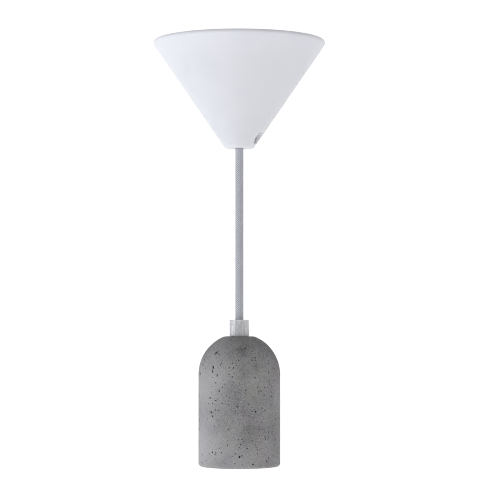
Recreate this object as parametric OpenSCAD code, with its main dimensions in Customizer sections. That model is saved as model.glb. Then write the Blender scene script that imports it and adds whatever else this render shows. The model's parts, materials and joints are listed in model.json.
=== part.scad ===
// Pendant ceiling light: a conical canopy, a textile cord and a cast concrete lampholder.
// The origin is the centre of the suspension eye. +Z is up, -Y is the front.

/* [Canopy] */
// Diameter of the canopy's rim
canopy_d = 126; // [118:1:140]
// Height of the canopy from its nose to the ceiling
canopy_h = 79.5; // [79.5:0.5:90]
// Diameter of the canopy's flat nose
nose_d = 21; // [20:0.5:26]
// Thickness of the canopy's wall
canopy_wall = 2; // [1.6:0.1:2.2]
// How far the loosened canopy can be drawn down the cord
canopy_travel = 30; // [20:1:30]

/* [Cord] */
// Diameter of the textile cord
cord_d = 5.6; // [5:0.1:5.6]
// Length of cord between the canopy's nose and the cord grip
cord_drop = 126; // [100:1:600]

/* [Lampholder] */
// Diameter of the concrete body
body_d = 60; // [60:0.5:70]
// Height of the concrete body
body_h = 95; // [95:1:120]
// Diameter of the flat on top of the concrete dome
body_flat_d = 22; // [20:1:26]
// Diameter of the cord grip
grip_d = 14.3; // [14:0.1:18]
// Height of the cord grip
grip_h = 12; // [12:0.5:16]
// Inner diameter of the E27 screw shell
shell_d = 26.7; // [26.6:0.05:27]

/* [Suspension] */
// Radius of the hole in the suspension eye
eye_r = 6; // [5:0.5:6.5]
// Distance from the centre of the eye up to the ceiling
ceiling_gap = 16; // [15.5:0.5:16]

/* [Hidden] */
$fn = 96;

// Heights of the main faces
ceiling_z = ceiling_gap;
nose_z = ceiling_z - canopy_h;
grip_top = nose_z - cord_drop;
body_top = grip_top - grip_h;
body_bottom = body_top - body_h;

// Canopy
nose_r = nose_d / 2;
rim_r = canopy_d / 2;
lip_r = 2.2;
nose_edge_r = 0.8;
bead_w = 1.6;
floor_t = 3;
collar_r = 7.2;
collar_h = 14;
cord_hole_r = 3.4;
lip_centre = [rim_r - lip_r, ceiling_z - lip_r];
lip_run = lip_centre - [nose_r, nose_z];
cone_a = atan2(lip_run[0], lip_run[1]) + asin(lip_r / norm(lip_run));
cone_slope = tan(cone_a);
wall_run = canopy_wall / cos(cone_a);

// Side screw that holds the canopy on the cord
screw_turn = -22;
screw_z = nose_z + 7.2;
screw_r = 1.95;
screw_hole_r = 2;
screw_boss_r = 6;
recess_r = 4.5;
recess_x = 8.5;
screw_head_r = 3.3;
screw_head_h = 2.4;
screw_gap = 0.4;

// Cord
cord_r = cord_d / 2;
core_r = 1.1;
bend_step = 16;
front_pivot_z = nose_z - canopy_travel - 8.5;
side_pivot_z = front_pivot_z - bend_step;
ball_gap = cord_r + 0.3;

// Hanger
eye_out_r = eye_r + 3.5;
eye_w = 6;
leg_in = 7.2;
leg_out = 10.6;
leg_front = -3.5;
leg_back = 4.2;
clamp_top = -38;
clamp_bottom = -48.5;
clamp_split = -1.2;
clamp_back = 7;
channel_r = cord_r + 0.1;
clamp_screw_x = 7;
clamp_screw_z = (clamp_top + clamp_bottom) / 2 - 0.5;
m3_r = 1.5;
m3_hole_r = 1.55;
m3_head_r = 2.7;
m3_head_h = 2;

// Terminal block behind the hanger's front
block_w = 21;
block_front = -15.6;
block_back = -3.6;
block_top = -15;
block_bottom = -33;
pole_y = -9.6;
pole_zs = [-20, -28];
sleeve_r = 2.6;
sleeve_bore_r = 1.5;
pole_screw_x = 5;
pole_screw_r = 1.3;

// Coil of spare cord: two columns of three rows
coil_pitch = 5.8;
coil_mid_r = 34;
coil_top_row = 9.8;
coil_in_r = coil_mid_r - coil_pitch / 2 - cord_r;
coil_out_r = coil_mid_r + coil_pitch / 2 + cord_r;
coil_top = coil_top_row + cord_r;
coil_bottom = coil_top_row - 2 * coil_pitch - cord_r;
coil_edge_r = 1.6;
tie_angles = [90, 200, 300];
tie_t = 1.2;
tie_w = 3.6;
tie_gap = 0.1;

// Control points of the curve that the cord takes from the clamp to the coil
feed_points = [[0, 0, -38], [0, 0, -18.5], [-17.5, 7.5, -15], [-2, 39.5, -2], [31.1, 25.5, 9.8],
               [31.1, 0, 9.8]];
feed_end = 0.76;

// Routes of the two cores from the coil's end to the terminal block
live_route = [[17.9, 29.2, 10.4], [23.2, 25.2, 11.6], [27.6, 19.8, 13.2], [29.8, 13.8, 13.9],
              [29.6, 7.4, 14], [27.2, 1.2, 13.6], [24, -3.4, 10.6], [22.2, -6.2, 3.5],
              [21.2, -7.8, -6], [20, -8.9, -14], [17.6, -9.5, -18.6], [14.2, -9.6, -19.9],
              [10.5, -9.6, -20], [7, -9.6, -20]];
neutral_route = [[19.5, 30.8, 10.4], [25.2, 27, 11.6], [29.8, 21.5, 13.2], [32.4, 15, 13.9],
                 [32.4, 8, 14], [30.2, 1.5, 13.8], [27, -3.2, 11.4], [25.4, -5.6, 5],
                 [24.6, -7.2, -3], [24.2, -8.6, -12], [22.8, -9.4, -20], [19.4, -9.6, -25.6],
                 [14.6, -9.6, -27.8], [10.5, -9.6, -28], [7, -9.6, -28]];

// Cord grip and nipple
grip_bore_r = cord_r + 0.3;
nipple_r = 5;
nipple_bore_r = 3.6;
thread_r = 5.05;
nipple_top = body_top + 6.2;
grip_screw_z = grip_top - 2.8;
grip_screw_r = 1.4;
grip_screw_hole_r = 1.45;

// Concrete body
body_r = body_d / 2;
body_flat_r = body_flat_d / 2;
body_edge_r = 2.4;
flat_edge_r = 0.8;
dome_drop = sqrt(body_r * body_r - body_flat_r * body_flat_r);
dome_z = body_top - dome_drop;
cavity_r = 22.5;
cavity_top = body_bottom + 72;
cavity_edge_r = 2;
body_hole_r = 5.2;

// Lampholder inside the concrete, measured down from the top of its cavity
washer_t = 1.5;
washer_r = 10;
nut_t = 3.5;
nut_r = 8.6;
nut_z = cavity_top - washer_t - nut_t;
cap_neck_top = nut_z - 0.2;
cap_neck_r = 8;
nipple_bottom = cap_neck_top - 4.3;
cap_top = cap_neck_top - 5.3;
cap_r = 19.4;
cap_in_r = 17.5;
cap_t = 3;
cap_edge_r = 4;
block_z = cap_top - 13;
cap_bottom = block_z - 4;
insert_r = 17.2;
insert_t = 12;
insert_bottom = block_z - insert_t;
shell_r = shell_d / 2;
shell_t = 0.5;
shell_flange_r = 16.5;
shell_flange_t = 0.6;
shell_neck_r = 11.5;
shell_neck_z = insert_bottom - 3.5;
shell_top = insert_bottom - 6.5;
shell_bottom = insert_bottom - 26;
skirt_in_r = 19.6;
skirt_out_r = 21.2;
sleeve_in_r = 14.4;
sleeve_out_r = 15.9;
skirt_top = cap_top - 9;
skirt_bottom = insert_bottom - 30;
sleeve_top = insert_bottom - shell_flange_t - 0.1;
skirt_floor_t = 2;
terminal_h = 6;
terminal_d = 7;
terminal_in = 5.5;
live_out = 12.5;
neutral_out = 16.2;
holder_screw_x = 9;
rivet_r = 1.2;
rivet_hole_r = 1.25;
live_rivet_x = 9;
neutral_rivet_x = -14.9;
contact_pivot = [9, 0, insert_bottom - 1.3];
contact_slope = -18;
contact_t = 0.5;
contact_w = 5;
contact_reach = 12.4;
jacket_end = cap_top - 1.5;
core_exit_x = 1.25;
wire_z = block_z + 3;

// Points of an arc about c, from angle a0 to a1 in n steps
function arc(c, r, a0, a1, n = 8) =
    [for (i = [0:n]) let (a = a0 + (a1 - a0) * i / n) c + r * [cos(a), sin(a)]];

function unit(v) = v / norm(v);

function choose(n, k) = k == 0 ? 1 : choose(n, k - 1) * (n - k + 1) / k;

// Point at t on the Bezier curve of control points p
function bezier(p, t) =
    let (n = len(p) - 1)
    [for (axis = [0:2]) sum([for (i = [0:n]) choose(n, i) * pow(1 - t, n - i) * pow(t, i) * p[i][axis]])];

function sum(v, i = 0) = i == len(v) ? 0 : v[i] + sum(v, i + 1);

// Point at t between b and c on a smooth curve through a, b, c and d
function between(a, b, c, d, t) =
    (2 * b + (c - a) * t + (2 * a - 5 * b + 4 * c - d) * t * t + (3 * b - a - 3 * c + d) * t * t * t) / 2;

function smooth(p, n) =
    let (last = len(p) - 1)
    concat([for (i = [0:last - 1], j = [0:n - 1])
                between(p[max(i - 1, 0)], p[i], p[i + 1], p[min(i + 2, last)], j / n)],
           [p[last]]);

// Direction of a line of points at its point i
function heading(p, i) = unit(p[min(i + 1, len(p) - 1)] - p[max(i - 1, 0)]);

// One vector across the line at each point, carried along it without twist
function across(p, i = 0, last = [0.3, 1, 0.2]) =
    i == len(p) ? [] :
    let (h = heading(p, i), v = unit(last - (last * h) * h)) concat([v], across(p, i + 1, v));

module tube(p, r, sides = 8) {
    side = across(p);
    rings = len(p);
    points = [for (i = [0:rings - 1], k = [0:sides - 1])
                 let (up = cross(heading(p, i), side[i]), a = 360 * k / sides)
                 p[i] + r * (cos(a) * side[i] + sin(a) * up)];
    walls = [for (i = [0:rings - 2], k = [0:sides - 1], half = [0, 1])
                let (a = i * sides + k, b = i * sides + (k + 1) % sides)
                half == 0 ? [a, a + sides, b] : [b, a + sides, b + sides]];
    caps = [[for (k = [0:sides - 1]) k], [for (k = [sides - 1:-1:0]) (rings - 1) * sides + k]];
    polyhedron(points, concat(walls, caps), convexity = 4);
}

// Cylinder of radius r from height low to height high
module rod(r, low, high) {
    translate([0, 0, low])
        cylinder(r = r, h = high - low);
}

module ring(r_in, r_out, low, high) {
    difference() {
        rod(r_out, low, high);
        rod(r_in, low - 1, high + 1);
    }
}

// Cylinder along Y from y = front to y = back
module rod_y(r, front, back) {
    translate([0, front, 0])
        rotate([-90, 0, 0])
            cylinder(r = r, h = back - front);
}

// Cylinder along X from x = left to x = right
module rod_x(r, left, right) {
    translate([left, 0, 0])
        rotate([0, 90, 0])
            cylinder(r = r, h = right - left);
}

module box(low, high) {
    translate(low)
        cube(high - low);
}

module suspension_eye() {
    color("ghostwhite")
        difference() {
            union() {
                rod_y(eye_out_r, -eye_w / 2, eye_w / 2);
                for (s = [-1, 1])
                    box([s > 0 ? leg_in : -leg_out, leg_front, clamp_top - 0.5],
                        [s > 0 ? leg_out : -leg_in, leg_back, -3]);
                box([-leg_out, clamp_split, clamp_bottom], [leg_out, clamp_back, clamp_top]);
            }
            rod_y(eye_r, -eye_w, eye_w);
            rod(channel_r, clamp_bottom - 1, clamp_top + 1);
            for (s = [-1, 1])
                translate([s * clamp_screw_x, 0, clamp_screw_z])
                    rod_y(m3_hole_r, clamp_split - 1, clamp_back + 1);
        }
}

module clamp_plate() {
    color("ghostwhite")
        difference() {
            box([-leg_out, -5.4, clamp_bottom + 0.2], [leg_out, clamp_split - 0.4, clamp_top - 1.2]);
            rod(channel_r, clamp_bottom - 1, clamp_top + 1);
            for (s = [-1, 1])
                translate([s * clamp_screw_x, 0, clamp_screw_z])
                    rod_y(m3_hole_r, -8, 0);
        }
}

module clamp_screws() {
    color("silver")
        for (s = [-1, 1])
            translate([s * clamp_screw_x, 0, clamp_screw_z])
                difference() {
                    union() {
                        rod_y(m3_r, -5.6, clamp_back - 1);
                        rod_y(m3_head_r, -5.4 - m3_head_h, -5.4);
                    }
                    box([-m3_head_r, -8, -0.4], [m3_head_r, -6.4, 0.4]);
                }
}

module terminal_block() {
    color("white")
        difference() {
            box([-block_w / 2, block_front, block_bottom], [block_w / 2, block_back, block_top]);
            for (z = pole_zs) {
                translate([0, pole_y, z])
                    rod_x(sleeve_r + 0.05, -block_w, block_w);
                for (s = [-1, 1])
                    translate([s * pole_screw_x, 0, z])
                        rod_y(pole_screw_r + 0.6, block_front - 1, pole_y);
            }
        }
}

module terminal_sleeves() {
    color("goldenrod")
        for (z = pole_zs)
            translate([0, pole_y, z])
                difference() {
                    rod_x(sleeve_r, 1 - block_w / 2, block_w / 2 - 1);
                    rod_x(sleeve_bore_r, -block_w, block_w);
                    for (s = [-1, 1])
                        translate([s * pole_screw_x, 0, 0])
                            rod_y(pole_screw_r + 0.05, -sleeve_r - 1, 0);
                }
}

module terminal_screws() {
    color("silver")
        for (z = pole_zs, s = [-1, 1])
            translate([s * pole_screw_x, 0, z])
                difference() {
                    rod_y(pole_screw_r, block_front + 0.8, pole_y - core_r - 0.1);
                    box([-2, block_front, -0.25], [2, block_front + 1.5, 0.25]);
                }
}

module cord_upper() {
    color("lightslategray")
        rod(cord_r, front_pivot_z + ball_gap, clamp_top);
}

module cord_feed() {
    color("lightslategray")
        tube(concat([feed_points[0], feed_points[0] + [0, 0, 1]],
                    [for (i = [1:10]) bezier(feed_points, feed_end * i / 10)]), cord_r, 12);
}

module cord_coil() {
    color("lightslategray")
        rotate_extrude()
            polygon(concat(
                arc([coil_out_r - coil_edge_r, coil_top - coil_edge_r], coil_edge_r, 0, 90, 3),
                arc([coil_in_r + coil_edge_r, coil_top - coil_edge_r], coil_edge_r, 90, 180, 3),
                arc([coil_in_r + coil_edge_r, coil_bottom + coil_edge_r], coil_edge_r, 180, 270, 3),
                arc([coil_out_r - coil_edge_r, coil_bottom + coil_edge_r], coil_edge_r, 270, 360, 3)));
}

module coil_ties() {
    hole_low = [coil_in_r - tie_gap, -tie_w, coil_bottom - tie_gap];
    hole_high = [coil_out_r + tie_gap, tie_w, coil_top + tie_gap];
    color("whitesmoke")
        for (a = tie_angles)
            rotate([0, 0, a]) {
                difference() {
                    box([hole_low[0] - tie_t, -tie_w / 2, hole_low[2] - tie_t],
                        [hole_high[0] + tie_t, tie_w / 2, hole_high[2] + tie_t]);
                    box(hole_low, hole_high);
                }
                box([hole_low[0] - tie_t - 3, -tie_w / 2 - 0.9, 0],
                    [hole_low[0] - tie_t, tie_w / 2 + 0.9, 4.5]);
            }
}

module live_core_upper() {
    color("saddlebrown")
        tube(smooth(live_route, 2), core_r);
}

module neutral_core_upper() {
    color("steelblue")
        tube(smooth(neutral_route, 2), core_r);
}

module canopy_outside() {
    nose_centre = [nose_r + cone_slope * nose_edge_r - nose_edge_r / cos(cone_a), nose_z + nose_edge_r];
    rotate_extrude()
        polygon(concat([[0, nose_z]],
                       arc(nose_centre, nose_edge_r, -90, -cone_a, 4),
                       arc(lip_centre, lip_r, -cone_a, 90, 10),
                       [[0, ceiling_z]]));
}

module canopy_inside() {
    bead_r = lip_centre[0] - bead_w;
    floor_z = nose_z + floor_t;
    inner_nose_r = nose_r - wall_run;
    bead_z = nose_z + (bead_r - inner_nose_r) / cone_slope;
    rotate_extrude()
        polygon([[0, floor_z],
                 [inner_nose_r + cone_slope * floor_t, floor_z],
                 [bead_r, bead_z],
                 [bead_r, ceiling_z + 1],
                 [0, ceiling_z + 1]]);
}

module canopy_cup() {
    color("white")
        difference() {
            union() {
                difference() {
                    canopy_outside();
                    canopy_inside();
                }
                rod(collar_r, nose_z + floor_t / 2, nose_z + collar_h);
                intersection() {
                    canopy_outside();
                    rotate([0, 0, screw_turn])
                        translate([0, 0, screw_z])
                            rod_x(screw_boss_r, cord_hole_r, 2 * nose_r);
                }
            }
            rod(cord_hole_r, nose_z - 1, nose_z + collar_h + 1);
            rotate([0, 0, screw_turn])
                translate([0, 0, screw_z]) {
                    rod_x(screw_hole_r, 0, recess_x + 1);
                    rod_x(recess_r, recess_x, 3 * nose_r);
                }
        }
}

module canopy_screw() {
    head_x = recess_x + 0.2;
    color("whitesmoke")
        rotate([0, 0, screw_turn])
            translate([0, 0, screw_z])
                difference() {
                    union() {
                        rod_x(screw_r, cord_r + screw_gap, head_x + 0.2);
                        rod_x(screw_head_r, head_x, head_x + screw_head_h);
                    }
                    box([head_x + 1.2, -screw_head_r, -0.45], [head_x + 4, screw_head_r, 0.45]);
                }
}

module cord_link() {
    color("lightslategray") {
        rod(cord_r, side_pivot_z + ball_gap, front_pivot_z);
        translate([0, 0, front_pivot_z])
            sphere(r = cord_r);
    }
}

module cord_lower() {
    color("lightslategray") {
        rod(cord_r, jacket_end, side_pivot_z);
        translate([0, 0, side_pivot_z])
            sphere(r = cord_r);
    }
}

module cord_grip() {
    color("gainsboro")
        difference() {
            rod(grip_d / 2, body_top, grip_top);
            rod(grip_bore_r, body_top - 1, grip_top + 1);
            rod(thread_r, body_top - 1, nipple_top + 0.2);
            translate([0, 0, grip_screw_z])
                rod_y(grip_screw_hole_r, 0, grip_d);
        }
}

module grip_screw() {
    color("silver")
        translate([0, 0, grip_screw_z])
            difference() {
                rod_y(grip_screw_r, cord_r + 0.3, grip_d / 2 - 0.2);
                box([-2, grip_d / 2 - 1.1, -0.3], [2, grip_d, 0.3]);
            }
}

module threaded_nipple() {
    color("silver")
        ring(nipple_bore_r, nipple_r, nipple_bottom, nipple_top);
}

module concrete_body() {
    flat_a = asin(dome_drop / body_r);
    color("dimgray")
        rotate_extrude()
            polygon(concat(
                arc([body_r - body_edge_r, body_bottom + body_edge_r], body_edge_r, -90, 0, 4),
                arc([0, dome_z], body_r, 0, flat_a - 1.5, 20),
                [[body_flat_r - flat_edge_r, body_top], [body_hole_r, body_top],
                 [body_hole_r, cavity_top]],
                arc([cavity_r - cavity_edge_r, cavity_top - cavity_edge_r], cavity_edge_r, 90, 0, 4),
                [[cavity_r, body_bottom + 1], [cavity_r + 1, body_bottom]]));
}

module nipple_washer() {
    color("silver")
        ring(thread_r + 0.2, washer_r, nut_z + nut_t, cavity_top);
}

module nipple_nut() {
    color("silver")
        difference() {
            translate([0, 0, nut_z])
                cylinder(r = nut_r, h = nut_t, $fn = 6);
            rod(thread_r, nut_z - 1, nut_z + nut_t + 1);
        }
}

module holder_cap() {
    color("ghostwhite")
        rotate_extrude()
            polygon(concat(
                [[thread_r, cap_neck_top], [cap_neck_r, cap_neck_top], [cap_neck_r, cap_top]],
                arc([cap_r - cap_edge_r, cap_top - cap_edge_r], cap_edge_r, 90, 0, 6),
                [[cap_r, cap_bottom], [cap_in_r, cap_bottom]],
                arc([cap_in_r - 2, cap_top - cap_t - 2], 2, 0, 90, 4),
                [[thread_r, cap_top - cap_t]]));
}

module contact_block() {
    color("ivory")
        difference() {
            rod(insert_r, insert_bottom, block_z);
            for (x = [live_rivet_x, neutral_rivet_x])
                translate([x, 0, 0])
                    rod(rivet_hole_r, insert_bottom - 1, block_z + 1);
        }
}

module contact_rivets() {
    color("goldenrod")
        for (x = [live_rivet_x, neutral_rivet_x])
            translate([x, 0, 0])
                rod(rivet_r, insert_bottom - (x > 0 ? 0.7 : 0), block_z);
}

// The two brass terminals, live on +X and neutral on -X
module holder_terminals() {
    color("goldenrod")
        difference() {
            union() {
                box([terminal_in, -terminal_d / 2, block_z], [live_out, terminal_d / 2, block_z + terminal_h]);
                box([-neutral_out, -terminal_d / 2, block_z], [-terminal_in, terminal_d / 2, block_z + terminal_h]);
            }
            translate([0, 0, wire_z])
                rod_x(sleeve_bore_r, -holder_screw_x, holder_screw_x);
            for (s = [-1, 1])
                translate([s * holder_screw_x, 0, 0])
                    rod(m3_hole_r, wire_z, block_z + terminal_h + 1);
        }
}

module holder_terminal_screws() {
    head_z = block_z + terminal_h;
    color("silver")
        for (s = [-1, 1])
            translate([s * holder_screw_x, 0, 0])
                difference() {
                    union() {
                        rod(m3_r, wire_z + 0.2, head_z + 0.2);
                        rod(m3_head_r, head_z, head_z + m3_head_h - 0.2);
                    }
                    box([-m3_head_r, -0.4, head_z + 0.9], [m3_head_r, 0.4, head_z + 3]);
                }
}

// Core from the cord's end to a terminal: s is 1 for live and -1 for neutral
module lower_core(s) {
    route = [[s * core_exit_x, 0, jacket_end - 0.1],
             [s * core_exit_x, 0, jacket_end - 1.6],
             [s * 1.7, 0, jacket_end - 3.8],
             [s * 2.6, 0, wire_z + 1.8],
             [s * 4.4, 0, wire_z + 0.2],
             [s * 6.6, 0, wire_z]];
    tube(smooth(route, 2), core_r);
}

module live_core_lower() {
    color("saddlebrown")
        lower_core(1);
}

module neutral_core_lower() {
    color("steelblue")
        lower_core(-1);
}

module screw_shell() {
    color("goldenrod")
        rotate_extrude()
            polygon([[shell_neck_r, insert_bottom], [shell_flange_r, insert_bottom],
                     [shell_flange_r, insert_bottom - shell_flange_t],
                     [shell_neck_r + shell_t, insert_bottom - shell_flange_t],
                     [shell_neck_r + shell_t, shell_neck_z],
                     [shell_r + shell_t, shell_top],
                     [shell_r + shell_t, shell_bottom],
                     [shell_r, shell_bottom],
                     [shell_r, shell_top],
                     [shell_neck_r, shell_neck_z]]);
}

module holder_skirt() {
    color("ghostwhite")
        rotate_extrude()
            polygon(concat(
                [[skirt_in_r, skirt_top], [skirt_in_r, skirt_bottom + skirt_floor_t],
                 [sleeve_out_r, skirt_bottom + skirt_floor_t], [sleeve_out_r, sleeve_top],
                 [sleeve_in_r, sleeve_top], [sleeve_in_r, skirt_bottom]],
                arc([skirt_out_r - 1, skirt_bottom + 1], 1, -90, 0, 4),
                [[skirt_out_r, skirt_top]]));
}

module centre_contact() {
    color("goldenrod")
        translate(contact_pivot)
            rotate([0, contact_slope, 0]) {
                box([-contact_reach, -contact_w / 2, -contact_t / 2], [1.6, contact_w / 2, contact_t / 2]);
                translate([-9.4, 0, 0])
                    rod(2.2, -1.1, 0);
            }
}

suspension_eye();
clamp_plate();
clamp_screws();
terminal_block();
terminal_sleeves();
terminal_screws();
cord_upper();
cord_feed();
cord_coil();
coil_ties();
live_core_upper();
neutral_core_upper();
canopy_cup();
canopy_screw();
cord_link();
cord_lower();
cord_grip();
grip_screw();
threaded_nipple();
concrete_body();
nipple_washer();
nipple_nut();
holder_cap();
contact_block();
contact_rivets();
holder_terminals();
holder_terminal_screws();
live_core_lower();
neutral_core_lower();
screw_shell();
holder_skirt();
centre_contact();
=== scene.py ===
import json
import math
import random
from collections import namedtuple

import bmesh
import bpy
import numpy as np
from mathutils import Matrix, Vector, noise


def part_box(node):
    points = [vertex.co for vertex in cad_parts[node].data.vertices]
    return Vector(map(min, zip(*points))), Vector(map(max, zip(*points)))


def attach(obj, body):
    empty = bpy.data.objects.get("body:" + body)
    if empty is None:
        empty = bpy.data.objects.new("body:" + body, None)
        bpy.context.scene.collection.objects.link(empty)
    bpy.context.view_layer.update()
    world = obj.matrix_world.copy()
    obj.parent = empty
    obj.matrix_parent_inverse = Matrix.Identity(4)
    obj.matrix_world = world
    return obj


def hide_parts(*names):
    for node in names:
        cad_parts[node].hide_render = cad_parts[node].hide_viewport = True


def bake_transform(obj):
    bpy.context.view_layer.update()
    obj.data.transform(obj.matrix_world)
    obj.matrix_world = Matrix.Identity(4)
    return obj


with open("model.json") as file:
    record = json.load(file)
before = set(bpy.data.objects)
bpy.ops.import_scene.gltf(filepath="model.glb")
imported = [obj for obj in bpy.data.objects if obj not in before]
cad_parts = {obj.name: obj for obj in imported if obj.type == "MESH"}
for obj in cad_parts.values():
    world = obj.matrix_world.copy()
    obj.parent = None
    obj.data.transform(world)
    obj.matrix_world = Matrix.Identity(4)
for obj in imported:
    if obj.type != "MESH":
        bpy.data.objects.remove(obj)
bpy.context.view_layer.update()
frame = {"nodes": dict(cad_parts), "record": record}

# Pendant ceiling light. Everything is in metres in the CAD's frame: the origin is the centre of the
# suspension eye, +Z is up, and the camera looks along +Y.

NODES = frame["nodes"]
TAU = 2 * math.pi


# ---------------------------------------------------------------- frame measures

def low(node):
    """The lowest corner of a CAD node's box."""
    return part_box(node)[0]


def high(node):
    """The highest corner of a CAD node's box."""
    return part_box(node)[1]


CORD_R = (high("cord_lower").x - low("cord_lower").x) / 2
CLAMP_TOP = high("cord_upper").z
FRONT_PIVOT_Z = high("cord_link").z - CORD_R
SIDE_PIVOT_Z = high("cord_lower").z - CORD_R
JACKET_END_Z = low("cord_lower").z
LINK_MIDDLE_Z = (FRONT_PIVOT_Z + SIDE_PIVOT_Z) / 2

BODY_TOP = high("concrete_body").z
BODY_BOTTOM = low("concrete_body").z
BODY_R = high("concrete_body").x
BODY_FLAT_R = 0.011
DOME_Z = BODY_TOP - math.sqrt(BODY_R ** 2 - BODY_FLAT_R ** 2)

# The coil of spare cord: two columns of three rows, round the hanger inside the canopy. A turn keeps its
# height until the step, and then moves on to the next row. These repeat the CAD's route.
COIL_PITCH = 0.0058
COIL_INNER_R = 0.0311
COIL_TOP_ROW = 0.0098
COIL_INNER_TURNS = 3
COIL_OUTER_TURNS = 17 / 6
COIL_STEP_START = 5 / 6
FEED_POINTS = [(0, 0, -0.038), (0, 0, -0.0185), (-0.0175, 0.0075, -0.015), (-0.002, 0.0395, -0.002),
               (0.0311, 0.0255, 0.0098), (0.0311, 0, 0.0098)]
TIE_ANGLES = (90, 200, 300)

# The cores from the coil's end to the terminal block, in millimetres, and a core's radius in metres
CORE_R = 0.00108
LIVE_ROUTE = [(17.9, 29.2, 10.4), (23.2, 25.2, 11.6), (27.6, 19.8, 13.2), (29.8, 13.8, 13.9),
              (29.6, 7.4, 14), (27.2, 1.2, 13.6), (24, -3.4, 10.6), (22.2, -6.2, 3.5),
              (21.2, -7.8, -6), (20, -8.9, -14), (17.6, -9.5, -18.6), (14.2, -9.6, -19.9),
              (10.5, -9.6, -20), (7, -9.6, -20)]
NEUTRAL_ROUTE = [(19.5, 30.8, 10.4), (25.2, 27, 11.6), (29.8, 21.5, 13.2), (32.4, 15, 13.9),
                 (32.4, 8, 14), (30.2, 1.5, 13.8), (27, -3.2, 11.4), (25.4, -5.6, 5),
                 (24.6, -7.2, -3), (24.2, -8.6, -12), (22.8, -9.4, -20), (19.4, -9.6, -25.6),
                 (14.6, -9.6, -27.8), (10.5, -9.6, -28), (7, -9.6, -28)]


# ---------------------------------------------------------------- camera

CAMERA_AT = (0.0078, -1.42, -0.1838)
CAMERA_AIM = (0.0078, 0, -0.1383)
CAMERA_LENS = 139.4


def add_object(name, data, place=(0, 0, 0), aim=None):
    """Links a new object that holds the data, turned to look from its place at the aim."""
    made = bpy.data.objects.new(name, data)
    bpy.context.scene.collection.objects.link(made)
    made.location = place
    if aim is not None:
        made.rotation_euler = (Vector(aim) - Vector(place)).to_track_quat("-Z", "Y").to_euler()
    return made


def make_camera():
    """The photograph's view, slightly from below."""
    data = bpy.data.cameras.new("camera")
    data.lens = CAMERA_LENS
    data.clip_end = 100
    bpy.context.scene.camera = add_object("camera", data, CAMERA_AT, CAMERA_AIM)


# ---------------------------------------------------------------- mesh helpers

def shade_smooth(mesh, sharp_angle=40):
    mesh.polygons.foreach_set("use_smooth", [True] * len(mesh.polygons))
    mesh.set_sharp_from_angle(angle=math.radians(sharp_angle))


def grid_mesh(name, points, close_u, close_v, uvs=None):
    """A mesh over a grid of points, points[i, j], closed along i (u) or j (v) on request."""
    rows, columns = points.shape[:2]
    faces, corners = [], []
    for i in range(rows if close_u else rows - 1):
        for j in range(columns if close_v else columns - 1):
            i2, j2 = (i + 1) % rows, (j + 1) % columns
            faces.append((i * columns + j, i2 * columns + j, i2 * columns + j2, i * columns + j2))
            corners += [(i, j), (i + 1, j), (i + 1, j + 1), (i, j + 1)]
    mesh = bpy.data.meshes.new(name)
    mesh.from_pydata(points.reshape(-1, 3).tolist(), [], faces)
    if uvs is not None:
        layer = mesh.uv_layers.new(name="weave")
        layer.data.foreach_set("uv", np.array([uvs(i, j) for i, j in corners], np.float32).ravel())
    mesh.update()
    return mesh


def carried_frames(path):
    """Two unit vectors across the path at each of its points, carried along without twist."""
    ahead = np.gradient(path, axis=0)
    ahead /= np.linalg.norm(ahead, axis=1)[:, None]
    side = np.zeros_like(path)
    last = np.array([0.3, 1.0, 0.2])
    for i, direction in enumerate(ahead):
        last = last - last.dot(direction) * direction
        last /= np.linalg.norm(last)
        side[i] = last
    return side, np.cross(ahead, side)


def lengths_along(path):
    """How far along the path each of its points lies."""
    return np.concatenate([[0], np.cumsum(np.linalg.norm(np.diff(path, axis=0), axis=1))])


def resampled(path, step):
    """The same path with its points an equal step apart."""
    along = lengths_along(path)
    at = np.linspace(0, along[-1], round(along[-1] / step) + 1)
    return np.stack([np.interp(at, along, path[:, k]) for k in range(3)], axis=1)


def smooth_line(points, per_span=8):
    """A smooth curve through the points."""
    p = np.array(points, float)
    p = np.concatenate([p[:1], p, p[-1:]])
    t = np.linspace(0, 1, per_span, endpoint=False)[:, None]
    spans = []
    for a, b, c, d in zip(p, p[1:], p[2:], p[3:]):
        spans.append((2 * b + (c - a) * t + (2 * a - 5 * b + 4 * c - d) * t ** 2
                      + (3 * b - a - 3 * c + d) * t ** 3) / 2)
    return np.concatenate(spans + [p[-1:]])


def bezier_line(points, count):
    """The one Bezier curve that the points control, in that many steps."""
    t = np.linspace(0, 1, count)[:, None]
    n = len(points) - 1
    return sum(math.comb(n, i) * (1 - t) ** (n - i) * t ** i * np.array(p, float)
               for i, p in enumerate(points))


def rings_round(path, sides):
    """The angles of a tube's sides, and for each point of its path the unit vectors out to them."""
    side, up = carried_frames(path)
    angle = np.arange(sides) * TAU / sides
    return angle, (np.cos(angle)[None, :, None] * side[:, None]
                   + np.sin(angle)[None, :, None] * up[:, None])


def cap_ends(mesh):
    """Closes a tube's open ends."""
    bm = bmesh.new()
    bm.from_mesh(mesh)
    bmesh.ops.holes_fill(bm, edges=[e for e in bm.edges if e.is_boundary])
    bm.to_mesh(mesh)
    bm.free()


def plain_tube(name, path, radius, sides=16):
    """A smooth closed tube along the path."""
    ring = rings_round(path, sides)[1]
    mesh = grid_mesh(name, path[:, None] + radius * ring, False, True)
    cap_ends(mesh)
    shade_smooth(mesh, 60)
    return add_object(name, mesh)


# ---------------------------------------------------------------- textile cord

# Strands each way, the length of one turn of a strand, the depth of the relief and the share of it that
# lies inside the cord's radius
BRAID_CARRIERS = 12
BRAID_LAY = 0.018
BRAID_RELIEF = 0.00028
BRAID_SUNK = 0.55

# The straight stretches are seen close, so their mesh is finer and their relief stands a little prouder
STRAIGHT = {"step": 0.00025, "sides": 96, "fuller": 0.00008}
COILED = {"step": BRAID_LAY / 48, "sides": 24}


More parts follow.
